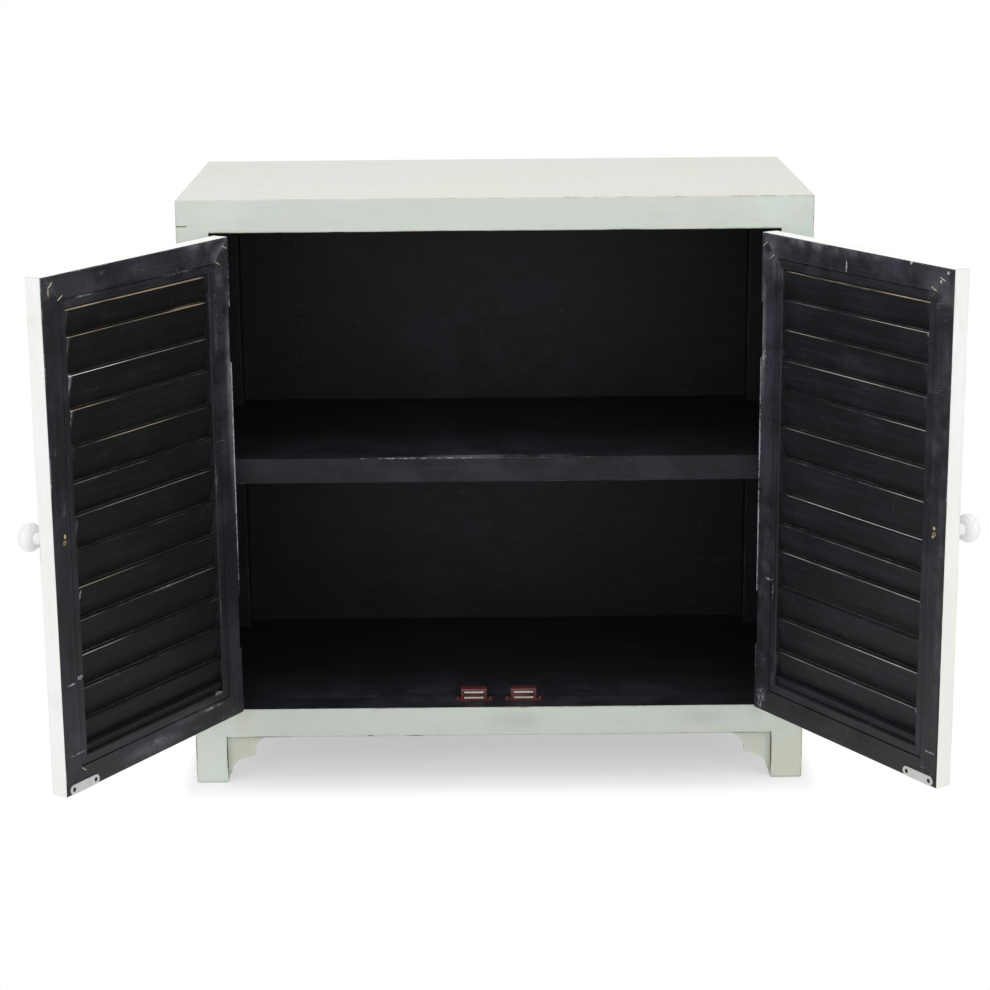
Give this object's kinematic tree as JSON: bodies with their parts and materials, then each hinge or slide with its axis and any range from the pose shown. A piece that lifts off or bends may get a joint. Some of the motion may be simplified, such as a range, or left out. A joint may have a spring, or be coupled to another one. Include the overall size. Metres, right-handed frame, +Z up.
{
  "type": "louvred door cabinet",
  "caption": "Painted wooden cabinet on straight legs, with louvred doors hung on butt hinges, a fixed shelf, magnetic catches and cusped brackets under the bottom rail.",
  "frame": {"origin": "on the floor, under the middle of the box that holds the cabinet with its doors open as modelled", "axes": "+Z up, +X to the right seen from the front, +Y to the back; the doors open towards -Y"},
  "size_m": [1.2736, 0.8182, 0.87],
  "materials": {
    "sage_paint": "pale sage paint, rubbed through at the edges",
    "black_stain": "blue-black stain, worn and scratched",
    "white_paint": "white gloss paint",
    "brown_plastic": "moulded dark brown",
    "zinc_steel": "dull zinc plate",
    "hinge_steel": "dark, slightly rusted steel"
  },
  "bodies": {
    "case": {"top_board": "sage_paint", "top_front_rail": "sage_paint", "bottom_front_rail": "sage_paint", "left_front_post": "sage_paint", "right_front_post": "sage_paint", "left_rear_post": "sage_paint", "right_rear_post": "sage_paint", "left_side_panel": "sage_paint", "right_side_panel": "sage_paint", "left_bracket": "sage_paint", "right_bracket": "sage_paint", "back_panel": "black_stain", "floor_board": "black_stain", "shelf": "black_stain", "left_magnetic_catch": "brown_plastic", "right_magnetic_catch": "brown_plastic", "left_lower_hinge_post_leaf": "hinge_steel", "left_upper_hinge_post_leaf": "hinge_steel", "right_lower_hinge_post_leaf": "hinge_steel", "right_upper_hinge_post_leaf": "hinge_steel"},
    "left_door": {"left_door_hinge_stile": "black_stain", "left_door_lock_stile": "black_stain", "left_door_top_rail": "black_stain", "left_door_bottom_rail": "black_stain", "left_door_slat_02": "black_stain", "left_door_slat_03": "black_stain", "left_door_slat_04": "black_stain", "left_door_slat_05": "black_stain", "left_door_slat_06": "black_stain", "left_door_slat_07": "black_stain", "left_door_slat_08": "black_stain", "left_door_slat_09": "black_stain", "left_door_slat_10": "black_stain", "left_door_slat_11": "black_stain", "left_door_slat_12": "black_stain", "left_door_slat_13": "black_stain", "left_door_knob": "white_paint", "left_door_strike_plate": "zinc_steel", "left_lower_hinge_door_leaf": "hinge_steel", "left_upper_hinge_door_leaf": "hinge_steel"},
    "right_door": {"right_door_hinge_stile": "black_stain", "right_door_lock_stile": "black_stain", "right_door_top_rail": "black_stain", "right_door_bottom_rail": "black_stain", "right_door_slat_02": "black_stain", "right_door_slat_03": "black_stain", "right_door_slat_04": "black_stain", "right_door_slat_05": "black_stain", "right_door_slat_06": "black_stain", "right_door_slat_07": "black_stain", "right_door_slat_08": "black_stain", "right_door_slat_09": "black_stain", "right_door_slat_10": "black_stain", "right_door_slat_11": "black_stain", "right_door_slat_12": "black_stain", "right_door_slat_13": "black_stain", "right_door_knob": "white_paint", "right_door_strike_plate": "zinc_steel", "right_lower_hinge_door_leaf": "hinge_steel", "right_upper_hinge_door_leaf": "hinge_steel"}
  },
  "joints": [
    {"name": "left_door_hinge", "type": "hinge", "parent": "case", "child": "left_door", "pos_m": [-0.40129, -0.05306, 0.469], "axis": [0, 0, 1], "range_deg": [-59.1, 120.9]},
    {"name": "right_door_hinge", "type": "hinge", "parent": "case", "child": "right_door", "pos_m": [0.39911, -0.05306, 0.469], "axis": [0, 0, 1], "range_deg": [-121.3, 58.7]}
  ]
}
